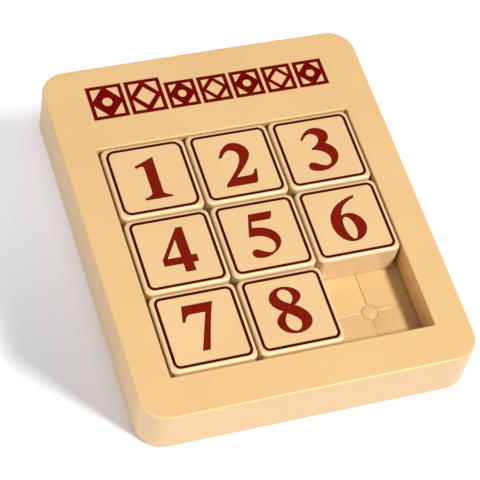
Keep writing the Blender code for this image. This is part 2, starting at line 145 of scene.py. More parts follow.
# mesh fineness
CORNER_STEPS = 16
RING_CORNER_STEPS = 10
ROUND_STEPS = 6
OUTLINE_STEPS = 10
CIRCLE_STEPS = 64
SUPPORT = 0.06  # width of the narrow bands that keep shading flat beside a rounded edge
SHARP_ANGLE = math.radians(40)
CLOSE = 1e-7  # points nearer than this are one point, in the unit of the call

# The digits' outlines. A point of an outline is (x, y) or (x, y, arrive, leave), in millimetres from
# the tile's middle. arrive and leave are (direction in degrees, handle length), or None where that side
# is straight.


def smooth(x, y, direction, before, after):
    """A point that the outline passes without a corner, heading in this direction."""
    return (x, y, (direction, before), (direction, after))


def one():
    return [
        [
            (1.62, 6.12),
            (1.5, -4.3, None, (-90, 0.7)),
            (3.5, -5.6, (-12, 1.2), None),
            (3.4, -6.2),
            (-3.35, -6.2),
            (-3.4, -5.55, None, (12, 1.2)),
            (-1.25, -4.1, (90, 0.8), None),
            (-1.25, 3.0, None, (90, 0.5)),
            smooth(-1.8, 3.68, 180, 0.4, 0.5),
            (-3.35, 3.28, (196, 0.5), None),
            (-3.42, 4.15, None, (17, 1.6)),
        ]
    ]


def two():
    return [
        [
            smooth(0.15, 6.28, 0, 2.0, 2.0),
            smooth(3.93, 2.75, -90, 1.9, 1.9),
            (-1.2, -4.0, (223, 2.4), None),
            (2.2, -3.97, None, (0, 0.9)),
            (3.85, -2.35, (62, 0.8), None),
            (4.42, -2.38),
            (3.85, -5.2, None, (258, 0.8)),
            (3.0, -6.52, (180, 0.5), None),
            (-4.55, -6.52),
            (-4.35, -5.75, None, (48, 3.6)),
            smooth(1.07, 2.2, 90, 2.6, 1.0),
            smooth(-0.85, 4.15, 180, 1.05, 1.1),
            (-3.24, 2.2, (240, 0.6), None),
            (-4.05, 2.2, None, (75, 1.6)),
        ]
    ]


def three():
    return [
        [
            smooth(0.2, 6.67, 0, 1.9, 1.9),
            smooth(3.55, 4.1, -90, 1.35, 1.3),
            (2.15, 1.7, (215, 0.7), (-35, 1.2)),
            smooth(4.33, -1.7, -90, 1.6, 2.6),
            smooth(-1.1, -6.4, 180, 2.9, 1.8),
            smooth(-4.27, -4.8, 90, 0.9, 0.7),
            smooth(-3.1, -3.48, 0, 0.6, 1.1),
            smooth(0.45, -4.95, 0, 1.4, 1.0),
            smooth(2.05, -3.1, 90, 1.1, 1.6),
            (-1.9, 0.15, (175, 1.9), None),
            (-1.9, 0.58, None, (24, 1.9)),
            smooth(0.7, 3.3, 90, 0.9, 1.0),
            smooth(-1.05, 4.97, 180, 0.9, 1.0),
            (-3.3, 3.35, (235, 0.6), None),
            (-3.95, 3.4, None, (62, 1.6)),
        ]
    ]


def four():
    return [
        [
            (1.3, 6.45),
            (2.9, 6.45),
            (2.95, -1.72),
            (4.3, -1.72),
            (4.3, -3.85),
            (2.95, -3.85),
            (2.95, -6.22),
            (0.4, -6.22),
            (0.4, -3.83),
            (-4.25, -3.82),
            (-4.2, -1.95),
        ],
        [(0.25, 3.1), (0.4, -1.85), (-2.9, -1.85)],
    ]


def five():
    return [
        [
            (-1.97, 6.42),
            (4.0, 6.42),
            (3.58, 5.05, None, (253, 0.6)),
            (2.4, 4.15, (180, 0.6), None),
            (-1.75, 4.15),
            (-2.08, 2.5, None, (-1, 3.4)),
            smooth(3.87, -1.75, -90, 2.5, 2.4),
            smooth(-1.7, -6.3, 180, 2.6, 1.5),
            smooth(-4.2, -4.85, 90, 0.85, 0.7),
            smooth(-3.1, -3.6, 0, 0.6, 1.1),
            smooth(0.45, -5.05, 0, 1.3, 0.95),
            smooth(2.1, -3.0, 90, 1.1, 1.5),
            (-2.2, 0.0, (180, 2.4), None),
            (-3.65, -0.05),
        ]
    ]


def six():
    return [
        [
            (3.78, 6.78, None, (193, 4.2)),
            smooth(-4.28, -0.9, -90, 4.6, 3.0),
            smooth(-0.1, -6.35, 0, 2.2, 2.3),
            smooth(4.23, -2.1, 90, 2.4, 2.0),
            smooth(0.6, 1.9, 180, 1.9, 0.8),
            (-1.0, 1.5, (205, 0.3), (78, 2.0)),
            (3.74, 5.95, (16, 2.8), None),
        ],
        [
            smooth(-0.3, 0.85, 0, 0.6, 0.9),
            smooth(1.47, -2.7, -90, 1.9, 1.6),
            smooth(0.3, -5.62, 180, 0.65, 0.8),
            smooth(-1.33, -1.6, 90, 2.0, 1.6),
        ],
    ]


def seven():
    return [
        [
            (-3.55, 6.42),
            (4.1, 6.42, None, (246, 3.0)),
            (-0.05, -6.2, (253, 4.0), None),
            (-1.95, -6.2),
            (1.6, 3.85),
            (-1.9, 3.9, None, (180, 1.1)),
            (-3.75, 2.0, (247, 1.0), None),
            (-4.45, 1.95),
        ]
    ]


def eight():
    return [
        [
            smooth(-0.5, 6.6, 0, 2.0, 2.0),
            smooth(3.55, 3.7, -90, 1.6, 1.1),
            (1.35, 1.15, (205, 0.8), (-28, 1.4)),
            smooth(4.28, -3.0, -90, 1.7, 2.0),
            smooth(-0.1, -6.45, 180, 2.3, 2.2),
            smooth(-4.3, -3.0, 90, 2.0, 1.4),
            (-1.95, -0.02, (30, 0.8), (150, 1.3)),
            smooth(-4.4, 3.3, 90, 1.5, 1.9),
        ],
        [
            smooth(-0.55, 5.8, 0, 0.8, 1.1),
            smooth(1.4, 3.6, -90, 1.2, 1.0),
            (0.45, 1.7, (222, 0.3), (158, 0.9)),
            smooth(-2.0, 4.4, 90, 1.2, 0.8),
        ],
        [
            (-1.15, -0.7, (55, 0.6), (-33, 1.3)),
            smooth(1.45, -3.6, -90, 1.1, 1.2),
            smooth(-0.2, -5.65, 180, 0.85, 1.1),
            smooth(-2.2, -3.2, 90, 1.3, 1.1),
        ],
    ]


DIGITS = (one, two, three, four, five, six, seven, eight)


def flatten(loop, steps=OUTLINE_STEPS):
    """A Bezier outline as a list of 2D points."""
    points = []
    for index, start in enumerate(loop):
        end = loop[(index + 1) % len(loop)]
        first, last = Vector(start[:2]), Vector(end[:2])
        leave = start[3] if len(start) > 2 else None
        arrive = end[2] if len(end) > 2 else None
        if not leave and not arrive:
            points.append(first)
            continue
        near = first + heading(leave) if leave else first.lerp(last, 1 / 3)
        far = last - heading(arrive) if arrive else last.lerp(first, 1 / 3)
        for step in range(steps):
            t = step / steps
            s = 1 - t
            points.append(s**3 * first + 3 * s * s * t * near + 3 * s * t * t * far + t**3 * last)
    return points


def heading(handle):
    """Where a handle points, from its own point."""
    angle = math.radians(handle[0])
    return handle[1] * Vector((math.cos(angle), math.sin(angle)))


def rounded_rectangle(width, length, corner, steps=CORNER_STEPS):
    """Points of a rectangle with round corners, anticlockwise from the right side's foot."""
    points = []
    for quarter, (side_x, side_y) in enumerate(((1, -1), (1, 1), (-1, 1), (-1, -1))):
        middle_x = side_x * (width / 2 - corner)
        middle_y = side_y * (length / 2 - corner)
        for step in range(steps + 1):
            angle = (quarter - 1 + step / steps) * math.pi / 2
            x, y = middle_x + corner * math.cos(angle), middle_y + corner * math.sin(angle)
            points.append(Vector((x, y)))
    return points


def inside(point, loops):
    """Whether a point is inside an outline with holes."""
    crossings = 0
    for loop in loops:
        for start, end in zip(loop, loop[1:] + loop[:1]):
            if (start.y > point.y) != (end.y > point.y):
                at = start.x + (point.y - start.y) / (end.y - start.y) * (end.x - start.x)
                crossings += at > point.x
    return crossings % 2 == 1


def edge_distance(point, loops):
    """Distance from a point to the nearest outline."""
    nearest = math.inf
    for loop in loops:
        for start, end in zip(loop, loop[1:] + loop[:1]):
            along = end - start
            share = max(0.0, min(1.0, (point - start).dot(along) / along.length_squared))
            nearest = min(nearest, (point - start - share * along).length)
    return nearest


def fill(loops, extra=()):
    """Triangulates the space inside loops. Returns the points and the triangles, outline points first."""
    points, edges = [], []
    for loop in loops:
        first = len(points)
        points += loop
        edges += [(first + i, first + (i + 1) % len(loop)) for i in range(len(loop))]
    points += extra
    corners, _, faces, *_ = delaunay_2d_cdt(points, edges, [], 0, CLOSE)
    kept = []
    for face in faces:
        middle = sum((corners[i] for i in face), Vector((0, 0))) / len(face)
        if inside(middle, loops):
            kept.append(face)
    return corners, kept


class Builder:
    """Collects the faces of one piece, with a mark at each vertex for its material's painted light and
    shade.
    """

    def __init__(self):
        self.shape = bmesh.new()
        # the layer named edge holds every mark: painted highlights, painted light and painted shade
        self.mark = self.shape.verts.layers.float.new("edge")

    def vertex(self, x, y, z, mark=FACE_MARK):
        vertex = self.shape.verts.new((x * MM, y * MM, z * MM))
        vertex[self.mark] = mark
        return vertex

    def loop(self, points, z, mark=FACE_MARK):
        return [self.vertex(point.x, point.y, z, mark) for point in points]

    def face(self, corners):
        if len(set(corners)) > 2:
            self.shape.faces.new(corners)

    def bridge(self, low, high):
        """A band of faces between two loops with as many points."""
        for index in range(len(low)):
            after = (index + 1) % len(low)
            self.face((low[index], low[after], high[after], high[index]))

    def bridge_rows(self, rows):
        """Bands of faces through a list of loops."""
        for before, after in zip(rows, rows[1:]):
            self.bridge(before, after)

    def step(self, loops, start, end):
        """Walls on an outline from one height to another, and the face that closes them there."""
        for loop in loops:
            self.bridge(self.loop(loop, start), self.loop(loop, end))
        self.sheet(loops, end)

    def sheet(self, loops, z, extra=(), marks=(), mark=FACE_MARK):
        """A flat face with holes. Extra points inside it may have marks of their own."""
        count = sum(len(loop) for loop in loops)
        corners, triangles = fill(loops, list(extra))
        made = []
        for index, point in enumerate(corners):
            own = marks[index - count] if marks and index >= count else mark
            made.append(self.vertex(point.x, point.y, z, own))
        for triangle in triangles:
            self.face([made[index] for index in triangle])
        return made

    def finish(self, name):
        """Joins touching faces into one closed skin, and adds it to the scene."""
        bmesh.ops.remove_doubles(self.shape, verts=self.shape.verts, dist=CLOSE)
        bmesh.ops.recalc_face_normals(self.shape, faces=self.shape.faces)
        mesh = bpy.data.meshes.new(name)
        self.shape.to_mesh(mesh)
        self.shape.free()
        mesh.shade_smooth()
        mesh.set_sharp_from_angle(angle=SHARP_ANGLE)
        item = bpy.data.objects.new(name, mesh)
        bpy.context.scene.collection.objects.link(item)
        return item


def round_over(radius, steps=ROUND_STEPS):
    """(inset, drop, share) along a quarter round, from the side wall to the top face."""
    for step in range(steps + 1):
        angle = step / steps * math.pi / 2
        yield radius * (1 - math.cos(angle)), radius * (1 - math.sin(angle)), step / steps


def millimetres(node):
    """Low and high corner of a node's box."""
    low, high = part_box(node)
    return Vector(low) / MM, Vector(high) / MM


def well_middle():
    """The y of the well's middle. Its x is 0."""
    low, high = millimetres("well_floor")
    return (low.y + high.y) / 2


def moved(loops, x, y):
    return [[point + Vector((x, y)) for point in loop] for loop in loops]


def rectangle(x, y, width, length):
    """Corners of a rectangle round this middle."""
    sides = ((-1, -1), (1, -1), (1, 1), (-1, 1))
    return [Vector((x + side_x * width / 2, y + side_y * length / 2)) for side_x, side_y in sides]


def circle(radius, x=0.0, y=0.0, steps=CIRCLE_STEPS):
    turns = [2 * math.pi * step / steps for step in range(steps)]
    return [Vector((x + radius * math.cos(turn), y + radius * math.sin(turn))) for turn in turns]


def screw_places():
    """Number and middle of each cover screw."""
    for number in range(1, SCREWS + 1):
        low, high = millimetres(f"cover_screw_{number}")
        yield number, (low.x + high.x) / 2, (low.y + high.y) / 2


# materials

# noise scales in cycles per metre, bump heights in metres
CLOUD_SCALE = 55
SPECK_SCALE = 1800
GRAIN_SCALE = 5200
STREAK_SCALE = 420
BRUSH_SCALE = 500
GRAIN_HEIGHT = 0.004 * MM
STREAK_HEIGHT = 0.015 * MM
BRUSH_HEIGHT = 0.01 * MM

# the part of each noise that is used, and how far the roughness varies with it
CLOUD_SPAN = (0.35, 0.65)
SPECK_SPAN = (0.5, 0.8)
STREAK_SPAN = (0.35, 0.7)
SHEEN_SPAN = (0.3, 0.7)
PLASTIC_SPREAD = (-0.015, 0.02)
PAINT_SPREAD = (-0.06, 0.08)
METAL_SPREAD = (-0.08, 0.1)
STREAK_STRETCH = (1.0, 2.4, 1.0)

# how plastic and paint shine
PLASTIC_IOR = 1.56
COAT_ROUGHNESS = 0.34
WARM_SHINE = (1.0, 0.75, 0.48, 1)
PAINT_SHINE = 0.03
SPECK_DARKNESS = 0.93
STREAK_DARKNESS = 0.82

# the colour sockets of a mix node, by place, since their names are not unique
MIX_FIRST = 6
MIX_SECOND = 7
MIX_RESULT = 2


def new_material(name):
    material = bpy.data.materials.new(name)
    material.use_nodes = True
    nodes = material.node_tree.nodes
    return material, material.node_tree, nodes["Principled BSDF"]


def add_noise(tree, scale, detail=3.0, roughness=0.5, stretch=None):
    """A noise texture in the piece's own coordinates, scale in cycles per metre."""
    place = tree.nodes.new("ShaderNodeTexCoord")
    texture = tree.nodes.new("ShaderNodeTexNoise")
    texture.inputs["Scale"].default_value = scale
    texture.inputs["Detail"].default_value = detail
    texture.inputs["Roughness"].default_value = roughness
    source = place.outputs["Object"]
    if stretch:
        mapping = tree.nodes.new("ShaderNodeMapping")
        mapping.inputs["Scale"].default_value = stretch
        tree.links.new(source, mapping.inputs["Vector"])
        source = mapping.outputs["Vector"]
    tree.links.new(source, texture.inputs["Vector"])
    return texture.outputs["Fac"]


def add_ramp(tree, source, span, values):
    """Maps a number in a span to a range of values."""
    ramp = tree.nodes.new("ShaderNodeMapRange")
    ramp.inputs["From Min"].default_value, ramp.inputs["From Max"].default_value = span
    ramp.inputs["To Min"].default_value, ramp.inputs["To Max"].default_value = values
    tree.links.new(source, ramp.inputs["Value"])
    return ramp.outputs["Result"]


def add_sheen(tree, noise, roughness, spread):
    """Roughness that varies a little with the noise."""
    return add_ramp(tree, noise, SHEEN_SPAN, (roughness + spread[0], roughness + spread[1]))


def add_mix(tree, factor, first, second):
    """Mixes two colours, each a colour or another node's output."""
    mix = tree.nodes.new("ShaderNodeMix")
    mix.data_type = "RGBA"
    tree.links.new(factor, mix.inputs["Factor"])
    set_color(tree, mix.inputs[MIX_FIRST], first)
    set_color(tree, mix.inputs[MIX_SECOND], second)
    return mix.outputs[MIX_RESULT]


def set_color(tree, socket, value):
    if isinstance(value, tuple):
        socket.default_value = (*value, 1.0)
    else:
        tree.links.new(value, socket)


def add_bump(tree, shader, height, strength, distance):
    bump = tree.nodes.new("ShaderNodeBump")
    bump.inputs["Strength"].default_value = strength
    bump.inputs["Distance"].default_value = distance
    tree.links.new(height, bump.inputs["Height"])
    tree.links.new(bump.outputs["Normal"], shader.inputs["Normal"])


def add_light_mark(tree):
    """The mark that a piece's mesh carries at each vertex, which places its painted highlights, painted
    light and painted shade.
    """
    attribute = tree.nodes.new("ShaderNodeAttribute")
    attribute.attribute_name = "edge"
    return attribute.outputs["Fac"]


def plastic(name, light, dark, tints=(), roughness=0.36, grain=0.25, coat=0.0, specks=0.04):
    """Satin moulded plastic: cloudy colour, fine grain, and tints where the mesh is marked, which are
    painted highlights, painted light and painted shade.
    """
    material, tree, shader = new_material(name)
    cloud = add_noise(tree, CLOUD_SCALE, detail=4, roughness=0.55)
    speck = add_noise(tree, SPECK_SCALE, detail=2, roughness=0.6)
    color = add_mix(tree, add_ramp(tree, cloud, CLOUD_SPAN, (0, 1)), dark, light)
    deeper = tuple(channel * SPECK_DARKNESS for channel in dark)
    color = add_mix(tree, add_ramp(tree, speck, SPECK_SPAN, (0, specks)), color, deeper)
    for start, full, share, tint in tints:
        color = add_mix(tree, add_ramp(tree, add_light_mark(tree), (start, full), (0, share)), color, tint)
    tree.links.new(color, shader.inputs["Base Color"])
    sheen = add_sheen(tree, speck, roughness, PLASTIC_SPREAD)
    tree.links.new(sheen, shader.inputs["Roughness"])
    shader.inputs["IOR"].default_value = PLASTIC_IOR
    shader.inputs["Coat Weight"].default_value = coat
    shader.inputs["Coat Roughness"].default_value = COAT_ROUGHNESS
    shader.inputs["Specular Tint"].default_value = WARM_SHINE
    add_bump(tree, shader, add_noise(tree, GRAIN_SCALE, detail=2), grain, GRAIN_HEIGHT)
    return material


def paint(name, middle, rim, roughness=0.42):
    """Paint in an engraving, darker towards its outline as painted shade at the engraving's edge, with
    faint streaks.
    """
    material, tree, shader = new_material(name)
    streak = add_noise(tree, STREAK_SCALE, roughness=0.6, stretch=STREAK_STRETCH)
    darker = tuple(channel * STREAK_DARKNESS for channel in middle)
    color = add_mix(tree, add_ramp(tree, streak, STREAK_SPAN, (0, 1)), darker, middle)
    # rim is the painted shade colour at the paint's outline
    color = add_mix(tree, add_light_mark(tree), color, rim)
    tree.links.new(color, shader.inputs["Base Color"])
    sheen = add_sheen(tree, streak, roughness, PAINT_SPREAD)
    tree.links.new(sheen, shader.inputs["Roughness"])
    shader.inputs["Specular IOR Level"].default_value = PAINT_SHINE
    add_bump(tree, shader, streak, 0.2, STREAK_HEIGHT)
    return material


def metal(name, light, dark, roughness, stretch):
    """Brushed or plated metal with fine lines along one axis."""
    material, tree, shader = new_material(name)
    brush = add_noise(tree, BRUSH_SCALE, detail=5, roughness=0.65, stretch=stretch)
    tree.links.new(add_mix(tree, brush, dark, light), shader.inputs["Base Color"])
    sheen = add_sheen(tree, brush, roughness, METAL_SPREAD)
    tree.links.new(sheen, shader.inputs["Roughness"])
    shader.inputs["Metallic"].default_value = 1.0
    add_bump(tree, shader, brush, 0.25, BRUSH_HEIGHT)
    return material


CREAM = (0.68, 0.44, 0.205)
CREAM_SHADE = (0.66, 0.42, 0.19)
# painted highlight on the tray's rounded edges
CREAM_EDGE_HIGHLIGHT = (0.76, 0.55, 0.31)
# painted light and shade on the tray's outer sides: a pinker, paler copy of the cream for how the floor's
# light falls on them
CREAM_SIDE_PAINTED_LIGHT = (0.64, 0.447, 0.25)
# painted bounce light on the well's wall: a more orange copy of the cream
CREAM_WELL_PAINTED_BOUNCE = (0.72, 0.435, 0.175)
FLOOR_CREAM = (0.645, 0.42, 0.19)
FLOOR_SHADE = (0.625, 0.40, 0.175)
# painted shade in the floor's guide lines
GROOVE_PAINTED_SHADE = (0.34, 0.17, 0.055)
COVER_SHADE = (0.62, 0.39, 0.17)
TILE_CREAM = (0.69, 0.46, 0.23)
TILE_SHADE = (0.67, 0.44, 0.215)
# painted highlight on the tiles' rounded edges
TILE_EDGE_HIGHLIGHT = (0.78, 0.60, 0.36)
# painted light on the tiles' sides: a paler copy of the tile cream for how the floor's light falls on them
TILE_SIDE_PAINTED_LIGHT = (0.68, 0.49, 0.27)
BASE_SHADE = (0.64, 0.41, 0.19)
RED = (0.19, 0.008, 0.002)
# painted shade at the outlines of the digits, rings and title
RED_EDGE_SHADE = (0.09, 0.002, 0.001)
RING_RED = (0.07, 0.001, 0.0)
RING_EDGE_SHADE = (0.05, 0.001, 0.0)
TITLE_RED = (0.15, 0.001, 0.001)
TITLE_EDGE_SHADE = (0.09, 0.001, 0.001)

# tints: (mark where it starts, mark where it is full, full share, colour)
# the tray's tints are a painted highlight on rounded edges, painted light on the sides and painted bounce
# light on the well's wall
TRAY_TINTS = (
    (FACE_MARK, EDGE_MARK, 0.15, CREAM_EDGE_HIGHLIGHT),
    (FACE_MARK, SIDE_MARK, 1, CREAM_SIDE_PAINTED_LIGHT),
    (EDGE_MARK, WELL_MARK, 1, CREAM_WELL_PAINTED_BOUNCE),
)
# the floor's tint is painted shade that deepens with a guide line's depth
FLOOR_TINTS = ((FACE_MARK, EDGE_MARK, 0.6, GROOVE_PAINTED_SHADE),)
# the tiles' tints are a painted highlight on rounded edges and painted light on the sides
TILE_TINTS = ((FACE_MARK, EDGE_MARK, 0.6, TILE_EDGE_HIGHLIGHT), (FACE_MARK, SIDE_MARK, 1, TILE_SIDE_PAINTED_LIGHT))

MATERIALS = {
    "tray": plastic("tray_plastic", CREAM, CREAM_SHADE, TRAY_TINTS),
    "floor": plastic("well_floor_plastic", FLOOR_CREAM, FLOOR_SHADE, FLOOR_TINTS, 0.28, grain=0.12),
    "cover": plastic("back_cover_plastic", CREAM_SHADE, COVER_SHADE, roughness=0.5, grain=0.6),
    "tile": plastic("tile_plastic", TILE_CREAM, TILE_SHADE, TILE_TINTS, 0.28, 0.05, 0.15, specks=0.01),
    "base": plastic("tile_base_plastic", TILE_SHADE, BASE_SHADE, roughness=0.5, grain=0.5),
    "digit": paint("digit_paint", RED, RED_EDGE_SHADE),
    "ring": paint("ring_paint", RING_RED, RING_EDGE_SHADE),
    "title": paint("title_paint", TITLE_RED, TITLE_EDGE_SHADE),
    "sheet": metal("sheet_steel", (0.62, 0.62, 0.64), (0.42, 0.42, 0.44), 0.35, (1, 14, 1)),
    "magnet": metal("nickel_plate", (0.72, 0.70, 0.66), (0.56, 0.54, 0.50), 0.22, (2, 2, 8)),
    "screw": metal("screw_steel", (0.60, 0.60, 0.62), (0.36, 0.36, 0.38), 0.3, (8, 8, 1)),
}


def dress(item, key):
    item.data.materials.clear()
    item.data.materials.append(MATERIALS[key])


def place(item, key, body, nodes, slot):
    """Puts a finished piece on its body, in place of its CAD nodes."""
    dress(item, key)
    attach(item, body)
    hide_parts(*nodes)
    return item


# the tray


def tray_outline(inset=0.0):
    """The tray's outline, this far inside its side walls."""
    low, high = millimetres("tray_frame")
    width, length = high.x - low.x - 2 * inset, high.y - low.y - 2 * inset
    return rounded_rectangle(width, length, TRAY_CORNER - inset)


def well_outline(grow=0.0):
    """The well's outline, this far outside its walls."""
    side = WELL + 2 * grow
    return moved([rounded_rectangle(side, side, WELL_CORNER + grow)], 0, well_middle())[0]


def tray_shell():
    """The tray moulding: a top, the walls of the well and the sides, and bosses and ribs inside."""
    _, high = millimetres("tray_frame")
    _, floor_high = millimetres("well_floor")
    top, ceiling = high.z, high.z - TRAY_SKIN
    builder = Builder()
    rim = tray_outline(TRAY_TOP_ROUND + SUPPORT)
    window = well_outline(WELL_EDGE_ROUND + SUPPORT)
    title = [loop for number in range(ORNAMENTS) for loop in placed_ornament(number)]
    builder.sheet([rim, window, *title], top)
    builder.step(title, top, top - ENGRAVING_DEPTH)
    well_walls(builder, top, floor_high.z + WALL_FOOT_GAP, ceiling)
    side_walls(builder, top, ceiling)
    ceiling_outlines = [tray_outline(TRAY_WALL), well_outline(TRAY_WALL)]
    ceiling_outlines += title_ribs(builder, ceiling, floor_high, high.y - TRAY_WALL)
    ceiling_outlines += screw_bosses(builder, ceiling)
    builder.sheet(ceiling_outlines, ceiling)
    place(builder.finish("tray_shell"), "tray", "tray", ["tray_frame"], "tray_plastic")


def well_walls(builder, top, foot, ceiling):
    """The wall round the well, from its top edge down, and up behind to the ceiling."""
    rows = [builder.loop(well_outline(WELL_EDGE_ROUND + SUPPORT), top)]
    # the well's round edge is marked for a painted highlight, strongest halfway round
    for inset, drop, share in list(round_over(WELL_EDGE_ROUND))[::-1]:
        rows.append(builder.loop(well_outline(inset), top - drop, math.sin(math.pi * share)))
    # the well's wall is marked for its painted bounce light
    rows.append(builder.loop(well_outline(), top - WELL_EDGE_ROUND - SUPPORT, WELL_MARK))
    rows.append(builder.loop(well_outline(), foot + SUPPORT, WELL_MARK))
    rows.append(builder.loop(well_outline(SUPPORT), foot))
    rows.append(builder.loop(well_outline(TRAY_WALL), foot))
    rows.append(builder.loop(well_outline(TRAY_WALL), ceiling))
    builder.bridge_rows(rows)


def side_walls(builder, top, ceiling):
    """The side walls, from the ceiling down inside them, and up outside to the top's round edge."""
    rows = [builder.loop(tray_outline(TRAY_WALL), ceiling), builder.loop(tray_outline(TRAY_WALL), SUPPORT)]
    rows.append(builder.loop(tray_outline(TRAY_WALL - SUPPORT), 0))
    # the outer side is marked for its painted light and shade
    for inset, drop, _ in list(round_over(TRAY_FOOT_ROUND))[::-1]:
        rows.append(builder.loop(tray_outline(inset), drop, SIDE_MARK))
    rows.append(builder.loop(tray_outline(), TRAY_FOOT_ROUND + SUPPORT, SIDE_MARK))
    rows.append(builder.loop(tray_outline(), top - TRAY_TOP_ROUND - SUPPORT, SIDE_MARK))
    # the top's round edge is marked for a painted highlight, strongest halfway round
    for inset, drop, share in round_over(TRAY_TOP_ROUND):
        rows.append(builder.loop(tray_outline(inset), top - drop, math.sin(math.pi * share)))
    rows.append(builder.loop(tray_outline(TRAY_TOP_ROUND + SUPPORT), top))
    builder.bridge_rows(rows)


def title_ribs(builder, ceiling, floor_high, wall_y):
    """Ribs under the title, from the well's wall to the tray's. Returns their outlines."""
    low, high = floor_high.y + JOIN_GAP, wall_y - JOIN_GAP
    ribs = []
    for x in (-TITLE_RIB_PITCH, 0, TITLE_RIB_PITCH):
        ribs.append(rectangle(x, (low + high) / 2, TITLE_RIB_WIDTH, high - low))
        builder.step(ribs[-1:], ceiling, floor_high.z + TITLE_RIB_RISE)
    return ribs


def screw_bosses(builder, ceiling):
    """A hollow boss for each cover screw. Returns their outlines."""
    bosses = []
    for _, x, y in screw_places():
        boss, bore = circle(BOSS_RADIUS, x, y), circle(BORE_RADIUS, x, y)
        builder.bridge(builder.loop(boss, ceiling), builder.loop(boss, BOSS_FOOT))
        builder.sheet([boss, bore], BOSS_FOOT)
        builder.step([bore], BOSS_FOOT, BORE_TOP)
        bosses.append(boss)
    return bosses


def ornament(number, width, height):
    """Outlines of a title ornament: a frame that holds a diamond with a diamond or a disc cut out."""
    inner_x, inner_y = width / 2 - ORNAMENT_LINE, height / 2 - ORNAMENT_LINE
    loops = [rectangle(0, 0, width, height)]
    for side_x, side_y in ((-1, -1), (1, -1), (1, 1), (-1, 1)):
        near = Vector((side_x * ORNAMENT_NOTCH, side_y * ORNAMENT_NOTCH))
        far = Vector((side_x * inner_x, side_y * inner_y))
        loops.append([far, Vector((near.x, far.y)), Vector((far.x, near.y))])
    reach_x, reach_y = ORNAMENT_MIDDLE * width / 2, ORNAMENT_MIDDLE * height / 2
    if number % 2:
        loops.append([Vector((x * reach_x, y * reach_y)) for x, y in ((0, 1), (1, 0), (0, -1), (-1, 0))])
    else:
        loops.append(circle(reach_x / 2, steps=DISC_STEPS))
    return loops


def painted(name, loops, top):
    """A thin coat of paint, marked from its outline inwards for painted shade along its edge."""
    builder = Builder()
    xs = [point.x for loop in loops for point in loop]
    ys = [point.y for loop in loops for point in loop]
    columns = int((max(xs) - min(xs)) / PAINT_GRID)
    rows = int((max(ys) - min(ys)) / PAINT_GRID)
    extra, marks = [], []
    for row in range(rows + 1):
        stagger = 0.5 if row % 2 else 0.0
        for column in range(columns + 1):
            point = Vector((min(xs) + (column + stagger) * PAINT_GRID, min(ys) + row * PAINT_GRID))
            distance = edge_distance(point, loops)
            if distance > PAINT_MARGIN and inside(point, loops):
                extra.append(point)
                # the mark is full at the outline and fades inwards, for painted shade
                marks.append(max(0.0, 1 - distance / PAINT_SHADE_WIDTH))
    face = builder.sheet(loops, top, extra, marks, EDGE_MARK)
    back = builder.sheet(loops, top - PAINT_THICKNESS, mark=EDGE_MARK)
    first = 0
    for loop in loops:
        last = first + len(loop)
        builder.bridge(back[first:last], face[first:last])
        first = last
    return builder.finish(name)


def placed_ornament(number):
    """Outlines of a title ornament in its place on the tray."""
    low, high = millimetres(f"title_ornament_{number + 1}")
    middle = (low + high) / 2
    return moved(ornament(number, high.x - low.x, high.y - low.y), middle.x, middle.y)


def title_ornaments():
    _, tray_high = millimetres("tray_frame")
    for number in range(ORNAMENTS):
        name = f"title_mark_{number + 1}"
        item = painted(name, placed_ornament(number), tray_high.z - PAINT_SINK)
        place(item, "title", "tray", [f"title_ornament_{number + 1}"], "red_paint")


# the well floor, the cover and its screws


def groove_depth(point):
    """Share of the guide lines' depth at a point measured from the well's middle."""
    distance = math.inf
    for x in CELLS:
        for y in CELLS:
            distance = min(distance, abs((point - Vector((x, y))).length - SPOT_RADIUS))
    reach = WELL / 2
    nearest_x = min(CELLS, key=lambda middle: abs(point.x - middle))
    nearest_y = min(CELLS, key=lambda middle: abs(point.y - middle))
    off_x, off_y = abs(point.x - nearest_x), abs(point.y - nearest_y)
    if off_y > SPOT_RADIUS and abs(point.y) < reach:
        distance = min(distance, off_x)
    if off_x > SPOT_RADIUS and abs(point.x) < reach:
        distance = min(distance, off_y)
    share = max(0.0, 1 - distance / LINE_REACHES[-1])
    return share * share * (3 - 2 * share)


def guide_lines(half):
    """Points and edges of the floor's square and of narrow bands beside its lines and circles."""
    points = rectangle(0, 0, 2 * half, 2 * half)
    edges = [(0, 1), (1, 2), (2, 3), (3, 0)]
    offsets = [0.0, *LINE_REACHES, *(-offset for offset in LINE_REACHES)]

    def segment(start, end):
        edges.append((len(points), len(points) + 1))
        points.extend((start, end))

    stops = [-WELL / 2]
    for cell in CELLS:
        stops += [cell - SPOT_RADIUS, cell + SPOT_RADIUS]
    stops.append(WELL / 2)
    for start, end in zip(stops[::2], stops[1::2]):
        for cell in CELLS:
            for offset in offsets:
                segment(Vector((start, cell + offset)), Vector((end, cell + offset)))
                segment(Vector((cell + offset, start)), Vector((cell + offset, end)))
    for x in CELLS:
        for y in CELLS:
            for offset in offsets:
                first = len(points)
                points += circle(SPOT_RADIUS + offset, x, y)
                edges += [(first + i, first + (i + 1) % CIRCLE_STEPS) for i in range(CIRCLE_STEPS)]
    return points, edges


